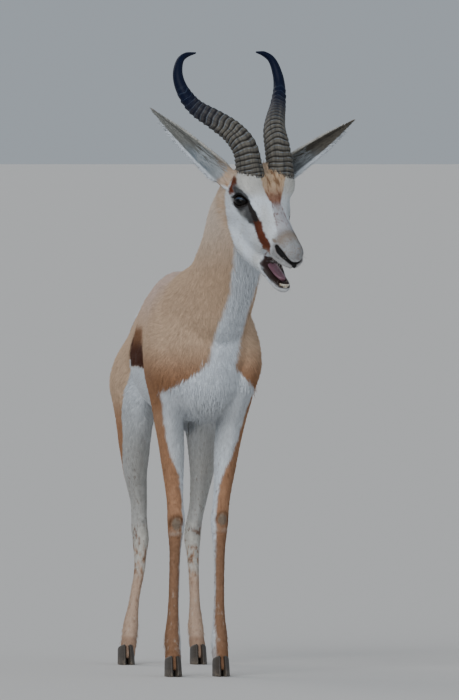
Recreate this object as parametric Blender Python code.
"""A springbok ram at life size, standing with its head turned and its mouth open. Metres, +Z up.

The ram stands on the floor at z = 0 and faces -Y, and +X is its left. Its flesh is modelled whole, from
lofts along the trunk, neck, head, jaws, legs and tail, and then parted by thin cuts into its nodes.
"""
import math

import bmesh
import bpy
import numpy as np
from mathutils import Matrix, Vector

# Driving dimensions
HEAD_ORIGIN = Vector((0.0812, -0.565, 0.933))  # midway between the eyes
HEAD_YAW = math.radians(24.0)  # turned to the ram's left
HEAD_PITCH = math.radians(23.0)  # nose down
HEAD_ROLL = math.radians(1.0)
EYE_CENTRE = Vector((0.0410, -0.005, -0.0025))  # in the head's frame, left side
EYE_RADIUS = 0.0175
LID_THICKNESS = 0.0022
LID_OPENING = (0.0335, 0.0205)  # length and height
LOOK = Vector((0.86, 0.45, 0.12))  # the way the left eye looks, in the head's frame
HORN_RINGS = 18
CUT = 0.0006  # width of a parting cut
MOST_GROWTH = 2.0  # limit on how much further a sharp corner of a seat moves out
VOXEL = 0.0045
FLESH_TRIANGLES = 2460

# Colours of the plain solids
TAN = (0.53, 0.31, 0.16)
WHITE = (0.78, 0.76, 0.72)
HORN_BLACK = (0.035, 0.030, 0.028)
EYE_BLACK = (0.010, 0.008, 0.007)
TONGUE_PINK = (0.45, 0.20, 0.22)
TOOTH = (0.70, 0.62, 0.45)

# Trunk sections, front to back: y, top, bottom, half width, height of the widest level as a share from
# the bottom, squareness above and below it
TRUNK = (
    (-0.392, 0.660, 0.592, 0.018, 0.50, 2.0, 2.0),
    (-0.385, 0.695, 0.560, 0.042, 0.50, 2.0, 2.0),
    (-0.364, 0.730, 0.530, 0.070, 0.50, 2.0, 2.0),
    (-0.330, 0.752, 0.510, 0.090, 0.50, 1.8, 1.8),
    (-0.280, 0.788, 0.502, 0.100, 0.48, 1.6, 1.7),
    (-0.220, 0.802, 0.499, 0.099, 0.46, 1.5, 1.8),
    (-0.150, 0.798, 0.497, 0.098, 0.44, 1.5, 2.1),
    (-0.050, 0.795, 0.498, 0.100, 0.40, 1.5, 2.2),
    (0.050, 0.793, 0.510, 0.097, 0.38, 1.5, 2.2),
    (0.130, 0.790, 0.531, 0.090, 0.36, 1.45, 2.1),
    (0.210, 0.781, 0.556, 0.083, 0.28, 1.45, 2.0),
    (0.290, 0.763, 0.580, 0.073, 0.22, 1.45, 2.0),
    (0.350, 0.745, 0.600, 0.061, 0.25, 1.5, 2.0),
    (0.390, 0.722, 0.630, 0.052, 0.35, 1.7, 2.0),
    (0.412, 0.700, 0.662, 0.026, 0.50, 2.0, 2.0),
)

# Neck sections from the chest to the skull: centre x, y, z, half width, half depth behind and in front
NECK = (
    (0.000, -0.235, 0.660, 0.085, 0.120, 0.130),
    (0.008, -0.310, 0.702, 0.082, 0.098, 0.122),
    (0.030, -0.372, 0.765, 0.069, 0.074, 0.089),
    (0.042, -0.424, 0.838, 0.063, 0.062, 0.067),
    (0.050, -0.466, 0.903, 0.060, 0.054, 0.058),
    (0.058, -0.500, 0.947, 0.050, 0.044, 0.050),
    (0.064, -0.522, 0.962, 0.036, 0.030, 0.040),
)

# Head sections in the head's frame, back to nose: y, top, bottom, half width, widest level, squareness
SKULL = (
    (-0.100, 0.004, -0.040, 0.022, 0.50, 2.0, 2.0),
    (-0.085, 0.026, -0.064, 0.037, 0.52, 2.0, 2.0),
    (-0.060, 0.047, -0.088, 0.047, 0.55, 2.2, 1.9),
    (-0.035, 0.062, -0.104, 0.051, 0.62, 2.6, 1.8),
    (-0.008, 0.063, -0.112, 0.051, 0.68, 3.0, 1.7),
    (0.018, 0.047, -0.112, 0.049, 0.68, 3.0, 1.7),
    (0.042, 0.022, -0.108, 0.042, 0.62, 2.6, 1.8),
    (0.065, 0.004, -0.093, 0.035, 0.50, 2.3, 2.0),
    (0.085, -0.006, -0.081, 0.030, 0.42, 2.2, 2.2),
    (0.105, -0.0145, -0.083, 0.028, 0.38, 2.2, 2.4),
    (0.125, -0.0235, -0.087, 0.0275, 0.38, 2.3, 2.4),
    (0.139, -0.030, -0.088, 0.0255, 0.40, 2.4, 2.3),
    (0.149, -0.037, -0.086, 0.0205, 0.45, 2.3, 2.2),
    (0.1555, -0.047, -0.080, 0.0120, 0.50, 2.0, 2.0),
)

# Lower jaw sections, open as it chews
JAW = (
    (-0.050, -0.030, -0.082, 0.036, 0.50, 2.0, 2.0),
    (-0.025, -0.035, -0.110, 0.040, 0.50, 2.0, 1.9),
    (0.000, -0.050, -0.126, 0.039, 0.50, 2.0, 1.8),
    (0.030, -0.070, -0.131, 0.035, 0.50, 2.1, 1.8),
    (0.055, -0.086, -0.131, 0.030, 0.55, 2.2, 1.8),
    (0.075, -0.100, -0.132, 0.026, 0.60, 2.3, 1.8),
    (0.092, -0.112, -0.136, 0.023, 0.60, 2.4, 1.8),
    (0.107, -0.117, -0.141, 0.021, 0.60, 2.4, 1.8),
    (0.120, -0.119, -0.143, 0.018, 0.60, 2.3, 1.9),
    (0.130, -0.122, -0.139, 0.013, 0.55, 2.1, 2.0),
)

# Foreleg slices from the shoulder blade down: z, front y, back y, half width
FORELEG = (
    (0.775, -0.225, -0.170, 0.014),
    (0.735, -0.268, -0.150, 0.024),
    (0.690, -0.312, -0.150, 0.033),
    (0.645, -0.350, -0.152, 0.038),
    (0.605, -0.366, -0.156, 0.038),
    (0.570, -0.362, -0.163, 0.034),
    (0.535, -0.340, -0.172, 0.031),
    (0.505, -0.318, -0.186, 0.0285),
    (0.470, -0.303, -0.205, 0.0255),
    (0.420, -0.292, -0.222, 0.0220),
    (0.370, -0.285, -0.235, 0.0180),
    (0.335, -0.286, -0.240, 0.0165),
    (0.307, -0.290, -0.239, 0.0178),
    (0.278, -0.285, -0.242, 0.0155),
    (0.245, -0.278, -0.247, 0.0120),
    (0.190, -0.276, -0.249, 0.0112),
    (0.130, -0.278, -0.247, 0.0114),
    (0.100, -0.283, -0.243, 0.0140),
    (0.078, -0.288, -0.241, 0.0158),
    (0.055, -0.297, -0.252, 0.0150),
    (0.030, -0.309, -0.259, 0.0152),
    (0.012, -0.314, -0.262, 0.0152),
)
FORELEG_LINE_RIGHT = ((0.78, 0.050), (0.735, 0.062), (0.69, 0.067), (0.645, 0.071), (0.605, 0.070),
                      (0.57, 0.066), (0.535, 0.062), (0.50, 0.060), (0.45, 0.055), (0.307, 0.047),
                      (0.0, 0.0565))
FORELEG_LINE_LEFT = ((0.78, 0.050), (0.735, 0.067), (0.69, 0.078), (0.645, 0.082), (0.605, 0.081),
                     (0.57, 0.075), (0.535, 0.069), (0.50, 0.063), (0.45, 0.055), (0.307, 0.0385),
                     (0.0, 0.038))

# Hind leg slices from the croup down: z, front y, back y, half width
HINDLEG = (
    (0.705, 0.205, 0.372, 0.018),
    (0.665, 0.165, 0.408, 0.030),
    (0.615, 0.142, 0.416, 0.040),
    (0.565, 0.130, 0.408, 0.041),
    (0.525, 0.130, 0.386, 0.038),
    (0.485, 0.146, 0.362, 0.033),
    (0.445, 0.178, 0.346, 0.029),
    (0.400, 0.222, 0.345, 0.024),
    (0.360, 0.262, 0.358, 0.0195),
    (0.325, 0.294, 0.377, 0.0160),
    (0.295, 0.314, 0.393, 0.0150),
    (0.270, 0.326, 0.393, 0.0165),
    (0.245, 0.331, 0.380, 0.0165),
    (0.215, 0.332, 0.367, 0.0130),
    (0.170, 0.328, 0.357, 0.0112),
    (0.125, 0.322, 0.351, 0.0112),
    (0.098, 0.315, 0.353, 0.0135),
    (0.077, 0.308, 0.354, 0.0155),
    (0.055, 0.297, 0.342, 0.0150),
    (0.030, 0.284, 0.334, 0.0152),
    (0.012, 0.279, 0.330, 0.0152),
)
HINDLEG_LINE_RIGHT = ((0.705, 0.016), (0.665, 0.028), (0.615, 0.046), (0.56, 0.062), (0.45, 0.060),
                      (0.385, 0.054), (0.32, 0.040), (0.25, 0.034), (0.185, 0.038), (0.14, 0.048),
                      (0.0, 0.071))
HINDLEG_LINE_LEFT = ((0.705, 0.016), (0.665, 0.028), (0.615, 0.048), (0.56, 0.068), (0.45, 0.079),
                     (0.385, 0.081), (0.32, 0.079), (0.25, 0.070), (0.0, 0.075))

# Tail sections from the croup: centre y, z and half width
TAIL = ((0.380, 0.728, 0.020), (0.412, 0.718, 0.016), (0.438, 0.693, 0.0125), (0.450, 0.648, 0.0100),
        (0.453, 0.595, 0.0095), (0.452, 0.555, 0.0110), (0.450, 0.520, 0.0100), (0.448, 0.490, 0.0040))

# Horn centre line in the head's frame, left side, and its radius along its length
HORN_LINE = ((0.0315, -0.006, 0.028), (0.0345, -0.022, 0.060), (0.0370, -0.046, 0.091),
             (0.0470, -0.080, 0.109), (0.0670, -0.114, 0.120), (0.095, -0.152, 0.132),
             (0.1125, -0.180, 0.154), (0.1175, -0.202, 0.178), (0.109, -0.219, 0.200),
             (0.093, -0.227, 0.2100), (0.0695, -0.2296, 0.2138))
HORN_RADII = ((0.0, 0.0300), (0.06, 0.0282), (0.12, 0.0262), (0.25, 0.0238), (0.42, 0.0198), (0.56, 0.0162),
              (0.70, 0.0125), (0.84, 0.0087), (0.94, 0.0054), (1.0, 0.0016))
HORN_RINGED_SHARE = 0.62
# Both horns' roots lie to the head's left, and the left horn leans in higher up: offset along the length
HORN_ASIDE = {1: ((0.0, 0.0035), (0.45, 0.0), (0.62, -0.004), (0.80, -0.008), (0.92, -0.006), (1.0, -0.001)),
              -1: ((0.0, 0.0035), (0.45, 0.0), (1.0, 0.0))}
HORN_RING_HEIGHT = 0.0016

# Ears: root and tip in the head's frame, the way the cup opens, and half widths along the length
EAR_RIGHT = ((-0.037, -0.051, 0.011), (-0.161, -0.206, 0.108), (-0.60, 0.72, 0.35))
EAR_LEFT = ((0.042, -0.052, 0.018), (0.2090, -0.055, 0.142), (-0.40, 0.85, 0.33))
EAR_PROFILE = ((0.00, 0.0175), (0.10, 0.0208), (0.25, 0.0192), (0.40, 0.0170), (0.55, 0.0146), (0.68, 0.0116),
               (0.80, 0.0077), (0.90, 0.0041), (0.97, 0.0019), (1.00, 0.0006))
EAR_CUP = ((0.0, 1.00), (0.2, 0.85), (0.5, 0.50), (0.8, 0.45), (1.0, 0.4))  # depth as a share of half width
EAR_THICKNESS = 0.0030
EAR_ARC_POINTS = 7

# Hooves: each claw's sole and top along Y from the foot's middle, its width, and the slope of its top edge
FRONT_FOOT_Y = -0.2855
HIND_FOOT_Y = 0.3065
HOOF_TOP = 0.034
HOOF_SLOPE = 0.30
CLAW_SOLE = (-0.0400, 0.0215)
CLAW_TOP = (-0.0260, 0.0255)
CLAW_WIDTH = 0.0165
CLAW_GAP = 0.0012

# Tongue and lower front teeth in the head's frame
TONGUE = ((0.050, -0.100, 0.0100), (0.066, -0.101, 0.0125), (0.084, -0.106, 0.0130), (0.100, -0.111, 0.0125),
          (0.112, -0.1135, 0.0100), (0.119, -0.1145, 0.0060))  # y, z of its middle, half width
TEETH_ARC_CENTRE = (0.0, 0.117, -0.1170)
TEETH_ARC_RADII = (0.0110, 0.0120)
TEETH_HEIGHT = 0.0060
JAW_SLIDE = Matrix(((1, 0.055, 0, 0), (0, 1, 0, 0), (0, 0, 1, 0), (0, 0, 0, 1)))  # it chews to its left

# Swells and hollows of muscle and bone: centre in the frame named, radius, height, both sides
BODY_SWELLS = (
    ((0.020, -0.402, 0.688), 0.050, 0.003),  # front of the breast
    ((0.070, -0.235, 0.735), 0.045, 0.005),  # shoulder blade
    ((0.080, -0.345, 0.610), 0.050, 0.003),  # point of the shoulder
    ((0.085, -0.215, 0.575), 0.050, 0.003),  # triceps
    ((0.072, 0.195, 0.745), 0.032, 0.003),  # point of the hip
    ((0.108, 0.155, 0.525), 0.038, 0.006),  # stifle
    ((0.105, 0.330, 0.600), 0.070, 0.006),  # thigh
    ((0.110, 0.110, 0.640), 0.055, -0.007),  # flank hollow
    ((0.095, -0.150, 0.700), 0.045, -0.005),  # hollow behind the shoulder blade
)
HEAD_SWELLS = (
    ((0.052, 0.012, 0.028), 0.022, 0.0060),  # brow above the eye
    ((0.034, -0.010, 0.056), 0.030, 0.0050),  # forehead before the horn
    ((0.038, 0.013, 0.046), 0.024, 0.0060),  # forehead round the front of the horn
    ((0.052, -0.012, 0.036), 0.030, 0.0110),  # seat of the horn
    ((0.046, 0.026, -0.024), 0.020, 0.0030),  # cheekbone below the eye
    ((0.036, -0.012, -0.085), 0.034, 0.0040),  # jaw muscle
    ((0.030, 0.060, -0.030), 0.022, -0.0030),  # hollow before the eye
    ((0.024, 0.122, -0.058), 0.016, 0.0024),  # wing of the nostril
    ((0.022, 0.098, -0.080), 0.016, 0.0016),  # upper lip
)


def smoothed(rows, count):
    """The rows of a table, read off a smooth curve through them at evenly shared places."""
    rows = np.array(rows, float)
    places = np.linspace(0, len(rows) - 1, count)
    at = np.minimum(places.astype(int), len(rows) - 2)
    t = (places - at)[:, None]
    tangents = np.gradient(rows, axis=0)
    a, b, ta, tb = rows[at], rows[at + 1], tangents[at], tangents[at + 1]
    return ((2 * t**3 - 3 * t**2 + 1) * a + (t**3 - 2 * t**2 + t) * ta
            + (-2 * t**3 + 3 * t**2) * b + (t**3 - t**2) * tb)


def section(centre, side, up, half_width, rise, drop, above=2.0, below=2.0, count=28):
    """A ring of points: half_width to each side, rise along up and drop against it, squarer above 2."""
    ring = []
    for angle in np.linspace(0, math.tau, count, endpoint=False):
        c, s = math.cos(angle), math.sin(angle)
        power = 2 / (above if s >= 0 else below)
        across = half_width * math.copysign(abs(c) ** power, c)
        along = (rise if s >= 0 else drop) * math.copysign(abs(s) ** power, s)
        ring.append(Vector(centre) + side * across + up * along)
    return ring


def loft(bm, rings):
    """Skins the rings into a closed body with flat ends."""
    loops = [[bm.verts.new(p) for p in ring] for ring in rings]
    for low, high in zip(loops, loops[1:]):
        for i in range(len(low)):
            j = (i + 1) % len(low)
            bm.faces.new((low[i], low[j], high[j], high[i]))
    bm.faces.new(loops[0][::-1])
    bm.faces.new(loops[-1])


def mesh_object(name, bm):
    """Turns the bmesh into an object of triangles, with its faces pointing out."""
    bmesh.ops.triangulate(bm, faces=bm.faces)
    bmesh.ops.recalc_face_normals(bm, faces=bm.faces)
    mesh = bpy.data.meshes.new(name)
    bm.to_mesh(mesh)
    bm.free()
    obj = bpy.data.objects.new(name, mesh)
    bpy.context.scene.collection.objects.link(obj)
    return obj


def head_matrix():
    """Places the head's frame: x to its left, y to the nose, z out of the forehead."""
    forward = Vector((math.sin(HEAD_YAW) * math.cos(HEAD_PITCH), -math.cos(HEAD_YAW) * math.cos(HEAD_PITCH),
                      -math.sin(HEAD_PITCH)))
    level = Vector((math.cos(HEAD_YAW), math.sin(HEAD_YAW), 0))
    left = level * math.cos(HEAD_ROLL) + forward.cross(level) * math.sin(HEAD_ROLL)
    place = Matrix((left, forward, forward.cross(left))).transposed().to_4x4()
    place.translation = HEAD_ORIGIN
    return place


def across_sections(table, count, place=Matrix()):
    """Rings across the Y axis of a table of y, top, bottom, half width, widest level and squareness."""
    turn = place.to_3x3()
    rings = []
    for y, top, bottom, half_width, level, above, below in smoothed(table, count):
        widest = bottom + (top - bottom) * level
        centre = place @ Vector((0, y, widest))
        rings.append(section(centre, turn @ Vector((1, 0, 0)), turn @ Vector((0, 0, 1)), half_width,
                             top - widest, widest - bottom, above, below))
    return rings


def neck_rings():
    rows = smoothed(NECK, 24)
    slopes = np.gradient(rows[:, :3], axis=0)
    rings = []
    for row, slope in zip(rows, slopes):
        tangent = Vector(slope).normalized()
        turned = Vector((1, 0.12, 0))
        side = (turned - tangent * turned.dot(tangent)).normalized()
        behind = side.cross(tangent)
        rings.append(section(row[:3], side, behind, row[3], row[4], row[5], 1.9, 2.1))
    return rings


def leg_rings(table, line, side):
    """Level slices down a leg, whose middle follows line, a list of height and distance from the middle."""
    heights, offsets = zip(*sorted(line))
    rings = []
    for z, front, back, half_width in smoothed(table, 3 * len(table)):
        x = side * np.interp(z, heights, offsets)
        middle = (front + back) / 2
        rings.append(section((x, middle, z), Vector((1, 0, 0)), Vector((0, -1, 0)), half_width,
                             middle - front, back - middle, 2.2, 2.2))
    return rings


def tail_rings():
    rows = smoothed(TAIL, 20)
    slopes = np.gradient(rows[:, :2], axis=0)
    rings = []
    for (y, z, radius), slope in zip(rows, slopes):
        tangent = Vector((0, *slope)).normalized()
        rings.append(section((0, y, z), Vector((1, 0, 0)), Vector((1, 0, 0)).cross(tangent), radius,
                             radius * 0.7, radius * 0.7))
    return rings


def swell(points, normals, swells, place=Matrix()):
    """Moves points out along their normals where a swell reaches, and in at a hollow, on both sides."""
    for (x, y, z), radius, height in swells:
        for mirror in (1, -1):
            centre = np.array(place @ Vector((mirror * x, y, z)))
            near = np.exp(-((points - centre) ** 2).sum(1) / (2 * (radius * 0.6) ** 2))
            points += normals * (height * near)[:, None]


def relaxed(mesh, passes):
    """The mesh's points after smoothing, which goes on longer over the trunk and the neck."""
    count = len(mesh.vertices)
    points = np.empty(count * 3)
    mesh.vertices.foreach_get("co", points)
    points = points.reshape(-1, 3)
    edges = np.empty(len(mesh.edges) * 2, int)
    mesh.edges.foreach_get("vertices", edges)
    a, b = edges.reshape(-1, 2).T
    degree = np.bincount(a, minlength=count) + np.bincount(b, minlength=count)
    trunk = np.clip((points[:, 2] - 0.46) / 0.10, 0, 1) * np.clip((0.93 - points[:, 2]) / 0.06, 0, 1)
    head = (points - np.array(HEAD_ORIGIN)) @ np.array(head_matrix().to_3x3())
    trunk *= np.clip((np.abs(head[:, 1] - 0.04) - 0.11) / 0.03, 0, 1)
    for step in range(passes):
        share = 0.5 if step < 4 else 0.5 * trunk
        total = np.stack([np.bincount(a, points[b, k], count) + np.bincount(b, points[a, k], count)
                          for k in range(3)], axis=1)
        pull = total / degree[:, None] - points
        points += pull * (share if np.isscalar(share) else share[:, None])
    return points


def evaluated_mesh(obj):
    bpy.context.view_layer.update()
    graph = bpy.context.evaluated_depsgraph_get()
    return bpy.data.meshes.new_from_object(obj.evaluated_get(graph))


def apply_modifiers(obj):
    old = obj.data
    obj.data = evaluated_mesh(obj)
    obj.modifiers.clear()
    bpy.data.meshes.remove(old)


def combine(obj, tool, operation):
    """Joins the tool to the object or cuts it away, and removes the tool."""
    modifier = obj.modifiers.new("combine", "BOOLEAN")
    modifier.operation = operation
    modifier.solver = "EXACT"
    modifier.object = tool
    apply_modifiers(obj)
    bpy.data.objects.remove(tool)


def grown(obj, amount):
    """A copy of the object with its surface moved out, to cut its seat with."""
    bm = bmesh.new()
    bm.from_mesh(obj.data)
    bm.normal_update()
    moves = [v.normal * amount * min(v.calc_shell_factor(), MOST_GROWTH) for v in bm.verts]
    for v, move in zip(bm.verts, moves):
        v.co += move
    return mesh_object("seat", bm)


def closed_loop_near(edges, centre):
    """The edges of the closed loop nearest the centre."""
    links = {}
    for edge in edges:
        for v in edge.verts:
            links.setdefault(v, []).append(edge)
    loops = []
    left = set(links)
    while left:
        loop = {left.pop()}
        front = list(loop)
        while front:
            front = list({edge.other_vert(v) for v in front for edge in links[v]} - loop)
            loop.update(front)
        left -= loop
        if all(len(links[v]) == 2 for v in loop):
            middle = sum((v.co for v in loop), Vector()) / len(loop)
            loops.append(((middle - centre).length, {edge for v in loop for edge in links[v]}))
    return list(min(loops, key=lambda loop: loop[0])[1])


def crosses(edge, centre, normal, reach):
    """Tells whether an edge passes through the plane within reach of the centre."""
    a, b = [(v.co - centre).dot(normal) for v in edge.verts]
    if a * b > 0 or a == b:
        return False
    return (edge.verts[0].co.lerp(edge.verts[1].co, a / (a - b)) - centre).length < reach


def part_at(bm, centre, normal, reach):
    """Parts the body along a plane, within reach of the centre, and closes both sides."""
    centre, normal = Vector(centre), Vector(normal).normalized()
    faces = list({f for e in bm.edges if crosses(e, centre, normal, reach) for f in e.link_faces})
    near = faces + list({e for f in faces for e in f.edges}) + list({v for f in faces for v in f.verts})
    bmesh.ops.bisect_plane(bm, geom=near, plane_co=centre, plane_no=normal, dist=1e-6)
    level = [e for e in bm.edges if all(abs((v.co - centre).dot(normal)) < 2e-6 for v in e.verts)]
    bmesh.ops.split_edges(bm, edges=closed_loop_near(level, centre))
    rims = [e for e in bm.edges if e.is_boundary]
    for v in {v for e in rims for v in e.verts}:
        side = sum((f.calc_center_median() - centre).dot(normal) for f in v.link_faces)
        v.co += normal * math.copysign(CUT / 2, side)
    bmesh.ops.holes_fill(bm, edges=rims, sides=0)


def whole_flesh():
    """The trunk, neck, head, jaws, legs and tail as one closed body."""
    bm = bmesh.new()
    head = head_matrix()
    loft(bm, across_sections(TRUNK, 44))
    loft(bm, neck_rings())
    loft(bm, across_sections(SKULL, 44, head))
    loft(bm, across_sections(JAW, 28, head @ JAW_SLIDE))
    loft(bm, leg_rings(FORELEG, FORELEG_LINE_LEFT, 1))
    loft(bm, leg_rings(FORELEG, FORELEG_LINE_RIGHT, -1))
    loft(bm, leg_rings(HINDLEG, HINDLEG_LINE_LEFT, 1))
    loft(bm, leg_rings(HINDLEG, HINDLEG_LINE_RIGHT, -1))
    loft(bm, tail_rings())
    flesh = mesh_object("flesh", bm)
    remesh = flesh.modifiers.new("one skin", "REMESH")
    remesh.mode = "VOXEL"
    remesh.voxel_size = VOXEL
    apply_modifiers(flesh)
    points = relaxed(flesh.data, 36)
    flesh.data.vertices.foreach_set("co", points.ravel())
    flesh.data.update()
    normals = np.empty(len(flesh.data.vertices) * 3)
    flesh.data.vertices.foreach_get("normal", normals)
    normals = normals.reshape(-1, 3)
    swell(points, normals, BODY_SWELLS)
    swell(points, normals, HEAD_SWELLS, head)
    flesh.data.vertices.foreach_set("co", points.ravel())
    flesh.data.update()
    return flesh


def foot_centres():
    """The middle of each foot on the floor, by name."""
    return {"front_left": (FORELEG_LINE_LEFT[-1][1], FRONT_FOOT_Y),
            "front_right": (-FORELEG_LINE_RIGHT[-1][1], FRONT_FOOT_Y),
            "hind_left": (HINDLEG_LINE_LEFT[-1][1], HIND_FOOT_Y),
            "hind_right": (-HINDLEG_LINE_RIGHT[-1][1], HIND_FOOT_Y)}


def claw(name, foot_x, foot_y, side):
    """One of a foot's two claws: pointed at the toe, flat below, with its top edge rising to the front."""
    bm = bmesh.new()
    rings = []
    for share in (0.0, 0.45, 1.0):
        front = CLAW_SOLE[0] + (CLAW_TOP[0] - CLAW_SOLE[0]) * share
        back = CLAW_SOLE[1] + (CLAW_TOP[1] - CLAW_SOLE[1]) * share
        half_width = CLAW_WIDTH / 2 * (1 - 0.08 * share)
        ring = []
        for angle in np.linspace(0, math.tau, 12, endpoint=False):
            along = -math.cos(angle)
            toe = max(0.0, -along)
            across = math.sin(angle) * (1 - 0.35 * toe ** 2) - 0.30 * toe ** 2
            y = (front + back) / 2 + (back - front) / 2 * along
            top = HOOF_TOP - HOOF_SLOPE * y - CUT / 2
            x = side * (half_width + CLAW_GAP / 2 + half_width * across)
            ring.append(Vector((foot_x + x, foot_y + y, top * share)))
        rings.append(ring)
    loft(bm, rings)
    return mesh_object(name, bm)


def horn(name, side):
    """A horn along its curve, with ring after ring up to where it turns smooth."""
    place = head_matrix()
    line = smoothed(HORN_LINE, 400)
    steps = np.linalg.norm(np.diff(line, axis=0), axis=1)
    shares = np.concatenate([[0], np.cumsum(steps)]) / steps.sum()
    stops = [0.0]
    for ring in range(HORN_RINGS):
        base = 0.10 + (HORN_RINGED_SHARE - 0.10) * ring / HORN_RINGS
        stops += [base, base + 0.5 * (HORN_RINGED_SHARE - 0.10) / HORN_RINGS]
    stops += [HORN_RINGED_SHARE, 0.68, 0.74, 0.79, 0.84, 0.88, 0.92, 0.95, 0.975, 1.0]
    bm = bmesh.new()
    rings = []
    across = None
    for index, share in enumerate(stops):
        point = Vector([np.interp(share, shares, line[:, k]) for k in range(3)])
        ahead = Vector([np.interp(min(share + 0.01, 1), shares, line[:, k]) for k in range(3)])
        behind = Vector([np.interp(max(share - 0.01, 0), shares, line[:, k]) for k in range(3)])
        tangent = (ahead - behind).normalized()
        across = across or Vector((1, 0, 0))
        across = (across - tangent * across.dot(tangent)).normalized()
        radius = np.interp(share, *zip(*HORN_RADII))
        if 0 < index < len(stops) - 10 and index % 2 == 0:
            radius += HORN_RING_HEIGHT
        up = tangent.cross(across)
        ring = section(point, across, up, radius * 0.94, radius * 1.06, radius * 1.06, count=10)
        aside = np.interp(share, *zip(*HORN_ASIDE[side]))
        rings.append([place @ Vector((side * p.x + aside, p.y, p.z)) for p in ring])
    loft(bm, rings)
    return mesh_object(name, bm)


def ear(name, root, tip, opening):
    """A long pointed ear, cupped the way it opens and filled at its root."""
    place = head_matrix()
    root, tip = Vector(root), Vector(tip)
    axis = (tip - root).normalized()
    opening = Vector(opening)
    opening = (opening - axis * opening.dot(axis)).normalized()
    across = axis.cross(opening)
    bm = bmesh.new()
    rings = []
    for share, half_width in smoothed(EAR_PROFILE, 10):
        centre = root.lerp(tip, share) - opening * (0.012 * math.sin(math.pi * share) * -0.3)
        depth = half_width * np.interp(share, *zip(*EAR_CUP))
        hollow = min(1, max(0, (share - 0.02) / 0.16))
        thick = EAR_THICKNESS * (1 - 0.6 * share)
        outer = []
        inner = []
        for bend in np.linspace(-1, 1, EAR_ARC_POINTS):
            out = centre + across * (half_width * bend) - opening * (depth * (1 - bend * bend) + 0.0006)
            filled = centre + across * (half_width * bend * 0.96) + opening * 0.0006
            wall = out + opening * (thick * (1 - 0.6 * abs(bend))) - across * (thick * 0.3 * bend)
            outer.append(place @ out)
            inner.append(place @ filled.lerp(wall, hollow))
        rings.append(outer + inner[::-1])
    loft(bm, rings)
    return mesh_object(name, bm)


def eye_centre(side):
    return head_matrix() @ Vector((side * EYE_CENTRE.x, EYE_CENTRE.y, EYE_CENTRE.z))


def ball(name, centre, radius):
    bm = bmesh.new()
    bmesh.ops.create_icosphere(bm, subdivisions=3, radius=radius, matrix=Matrix.Translation(centre))
    return mesh_object(name, bm)


def lid_opening(side):
    """An almond prism out through the lids, to cut them open with."""
    place = head_matrix()
    look = Vector((side * LOOK.x, LOOK.y, LOOK.z)).normalized()
    along = Vector((0, 1, 0.40))
    along = (along - look * look.dot(along)).normalized()
    up = look.cross(along) * (1 if look.cross(along).z > 0 else -1)
    centre = Vector((side * EYE_CENTRE.x, EYE_CENTRE.y, EYE_CENTRE.z))
    length, height = LID_OPENING
    rings = []
    for out in (0.006, 0.034):
        ring = []
        for angle in np.linspace(0, math.tau, 16, endpoint=False):
            c, s = math.cos(angle), math.sin(angle)
            rise = height / 2 * s * (1 - 0.35 * c * c)
            ring.append(place @ (centre + look * out + along * (length / 2 * c) + up * rise))
        rings.append(ring)
    bm = bmesh.new()
    loft(bm, rings)
    return mesh_object("opening", bm)


def tongue():
    place = head_matrix() @ JAW_SLIDE
    turn = place.to_3x3()
    rings = []
    for y, z, half_width in smoothed(TONGUE, 7):
        rings.append(section(place @ Vector((0, y, z)), turn @ Vector((1, 0, 0)), turn @ Vector((0, 0, 1)),
                             half_width, 0.0035, 0.0055, count=10))
    bm = bmesh.new()
    loft(bm, rings)
    return mesh_object("tongue", bm)


def lower_teeth():
    """The row of lower front teeth, joined, standing in an arc on the jaw."""
    place = head_matrix() @ JAW_SLIDE
    centre = Vector(TEETH_ARC_CENTRE)
    rings = []
    for index, angle in enumerate(np.radians(np.linspace(-62, 62, 13))):
        out = Vector((math.sin(angle), math.cos(angle), 0))
        middle = centre + Vector((out.x * TEETH_ARC_RADII[0], out.y * TEETH_ARC_RADII[1], 0))
        thick = 0.0013 if index % 2 else 0.0010
        high = TEETH_HEIGHT * (1.0 if index % 2 else 0.86)
        corners = ((-thick, -0.006), (thick, -0.006), (thick * 1.4, high), (-thick * 0.4, high + 0.0006))
        rings.append([place @ (middle + out * a + Vector((0, 0, b))) for a, b in corners])
    bm = bmesh.new()
    loft(bm, rings)
    return mesh_object("lower_teeth", bm)


def paint(obj, colour, roughness):
    material = bpy.data.materials.new(obj.name)
    material.use_nodes = True
    shader = material.node_tree.nodes["Principled BSDF"]
    shader.inputs["Base Color"].default_value = (*colour, 1)
    shader.inputs["Roughness"].default_value = roughness
    obj.data.materials.clear()
    obj.data.materials.append(material)


def flesh_cuts():
    """The planes that part the flesh into its nodes: a point, the way it faces, and how far it reaches."""
    place = head_matrix()
    turn = place.to_3x3()
    cuts = [
        (place @ Vector((0, -0.058, -0.068)), turn @ Vector((0, 0.761, 0.648)), 0.13),  # head
        (place @ Vector((0, 0.078, -0.117)), turn @ Vector((0, 0.90, -0.43)), 0.040),  # jaw
        ((0.0, -0.290, 0.726), (0.0, -0.603, 0.797), 0.20),  # neck
        ((0.0, 0.4465, 0.668), (0.0, 0.35, -0.94), 0.022),  # tail
    ]
    legs = ((1, FORELEG_LINE_LEFT, HINDLEG_LINE_LEFT), (-1, FORELEG_LINE_RIGHT, HINDLEG_LINE_RIGHT))
    for side, fore, hind in legs:
        for line, y, z in ((fore, -0.260, 0.487), (hind, 0.255, 0.512), (fore, -0.265, 0.272),
                           (hind, 0.360, 0.246), (fore, -0.263, 0.104), (hind, 0.335, 0.104)):
            x = side * np.interp(z, *zip(*sorted(line)))
            cuts.append(((x, y, z), (0.0, 0.0, 1.0), 0.16 if z > 0.4 else 0.05))
    for x, y in foot_centres().values():
        cuts.append(((x, y, HOOF_TOP + CUT), (0, HOOF_SLOPE, 1), 0.05))
    return cuts


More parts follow.
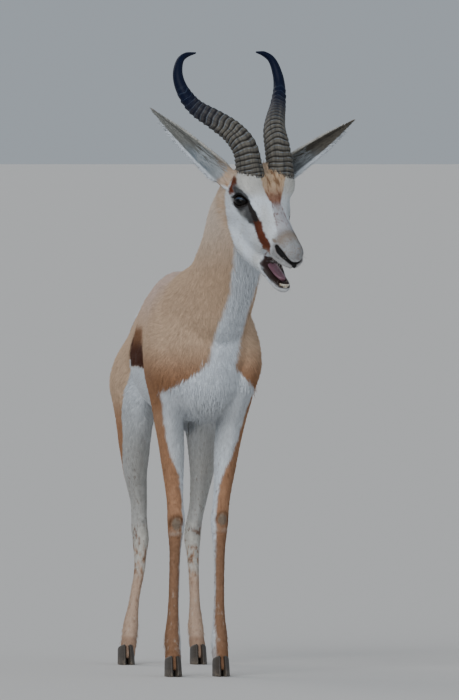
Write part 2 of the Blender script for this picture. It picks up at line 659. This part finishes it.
def flesh_seeds():
    """A point in each node of the flesh, to name the parted pieces by."""
    place = head_matrix()
    seeds = {"head": place @ Vector((0, 0.02, -0.02)), "lower_jaw": place @ Vector((0, 0.09, -0.125)),
             "neck": Vector((0.035, -0.40, 0.80)), "trunk": Vector((0, 0, 0.64)),
             "tail": Vector((0, 0.45, 0.58))}
    for side, sign in (("left", 1), ("right", -1)):
        seeds[f"forearm_{side}"] = Vector((sign * 0.055, -0.255, 0.38))
        seeds[f"front_cannon_{side}"] = Vector((sign * 0.045, -0.262, 0.19))
        seeds[f"front_pastern_{side}"] = Vector((sign * 0.047, -0.27, 0.07))
        seeds[f"gaskin_{side}"] = Vector((sign * 0.060, 0.28, 0.38))
        seeds[f"hind_cannon_{side}"] = Vector((sign * 0.052, 0.345, 0.17))
        seeds[f"hind_pastern_{side}"] = Vector((sign * 0.070, 0.33, 0.07))
    return seeds


def parted(flesh):
    """Splits the flesh at its cuts into loose pieces, each named by the seed nearest its middle."""
    bm = bmesh.new()
    bm.from_mesh(flesh.data)
    for cut in flesh_cuts():
        part_at(bm, *cut)
    bmesh.ops.triangulate(bm, faces=bm.faces)
    bm.verts.index_update()
    seeds = flesh_seeds()
    left = set(bm.verts)
    nodes = {}
    while left:
        piece = {left.pop()}
        front = list(piece)
        while front:
            front = list({edge.other_vert(v) for v in front for edge in v.link_edges} - piece)
            piece.update(front)
        left -= piece
        ordered = sorted(piece, key=lambda v: v.index)
        low = [min(v.co[k] for v in ordered) for k in range(3)]
        high = [max(v.co[k] for v in ordered) for k in range(3)]
        middle = (Vector(low) + Vector(high)) / 2
        if high[2] < 0.06:
            continue
        name = min(seeds, key=lambda seed: (seeds[seed] - middle).length)
        index = {v: i for i, v in enumerate(ordered)}
        mesh = bpy.data.meshes.new(name)
        faces = [[index[v] for v in face.verts] for face in bm.faces if face.verts[0] in piece]
        mesh.from_pydata([v.co for v in ordered], [], faces)
        nodes[name] = bpy.data.objects.new(name, mesh)
        bpy.context.scene.collection.objects.link(nodes[name])
    bm.free()
    bpy.data.objects.remove(flesh)
    return nodes


def build_flesh(seated):
    """Parts the whole flesh, opens the eyes in the head, and seats the horns, ears, eyes and mouth parts."""
    flesh = whole_flesh()
    fewer = flesh.modifiers.new("fewer faces", "DECIMATE")
    fewer.ratio = FLESH_TRIANGLES / sum(len(p.vertices) - 2 for p in flesh.data.polygons)
    apply_modifiers(flesh)
    nodes = parted(flesh)
    head = nodes["head"]
    for side in (1, -1):
        combine(head, ball("lids", eye_centre(side), EYE_RADIUS + LID_THICKNESS), "UNION")
        combine(head, lid_opening(side), "DIFFERENCE")
    for obj in seated:
        for part in (head, nodes["lower_jaw"]):
            combine(part, grown(obj, CUT / 2), "DIFFERENCE")
    for name, node in nodes.items():
        paint(node, WHITE if "forearm" in name or name == "tail" else TAN, 0.85)
    return list(nodes.values())


def centre_on_floor(objects):
    """Moves everything so that the middle of its box stands over the origin."""
    points = [v.co for obj in objects for v in obj.data.vertices]
    x = (min(p.x for p in points) + max(p.x for p in points)) / 2
    y = (min(p.y for p in points) + max(p.y for p in points)) / 2
    for obj in objects:
        obj.data.transform(Matrix.Translation((-x, -y, 0)))


def main():
    for obj in list(bpy.data.objects):
        bpy.data.objects.remove(obj)
    horns = [horn("horn_left", 1), horn("horn_right", -1)]
    ears = [ear("ear_left", *EAR_LEFT), ear("ear_right", *EAR_RIGHT)]
    eyes = [ball("eye_left", eye_centre(1), EYE_RADIUS), ball("eye_right", eye_centre(-1), EYE_RADIUS)]
    mouth = [tongue(), lower_teeth()]
    claws = []
    for foot, (x, y) in foot_centres().items():
        claws.append(claw(f"claw_{foot}_1", x, y, 1))
        claws.append(claw(f"claw_{foot}_2", x, y, -1))
    for obj in horns + claws:
        paint(obj, HORN_BLACK, 0.45)
    for obj in ears:
        paint(obj, TAN, 0.85)
    for obj in eyes:
        paint(obj, EYE_BLACK, 0.05)
    paint(mouth[0], TONGUE_PINK, 0.4)
    paint(mouth[1], TOOTH, 0.3)
    flesh = build_flesh(horns + ears + eyes + mouth)
    centre_on_floor(horns + ears + eyes + mouth + claws + flesh)


main()
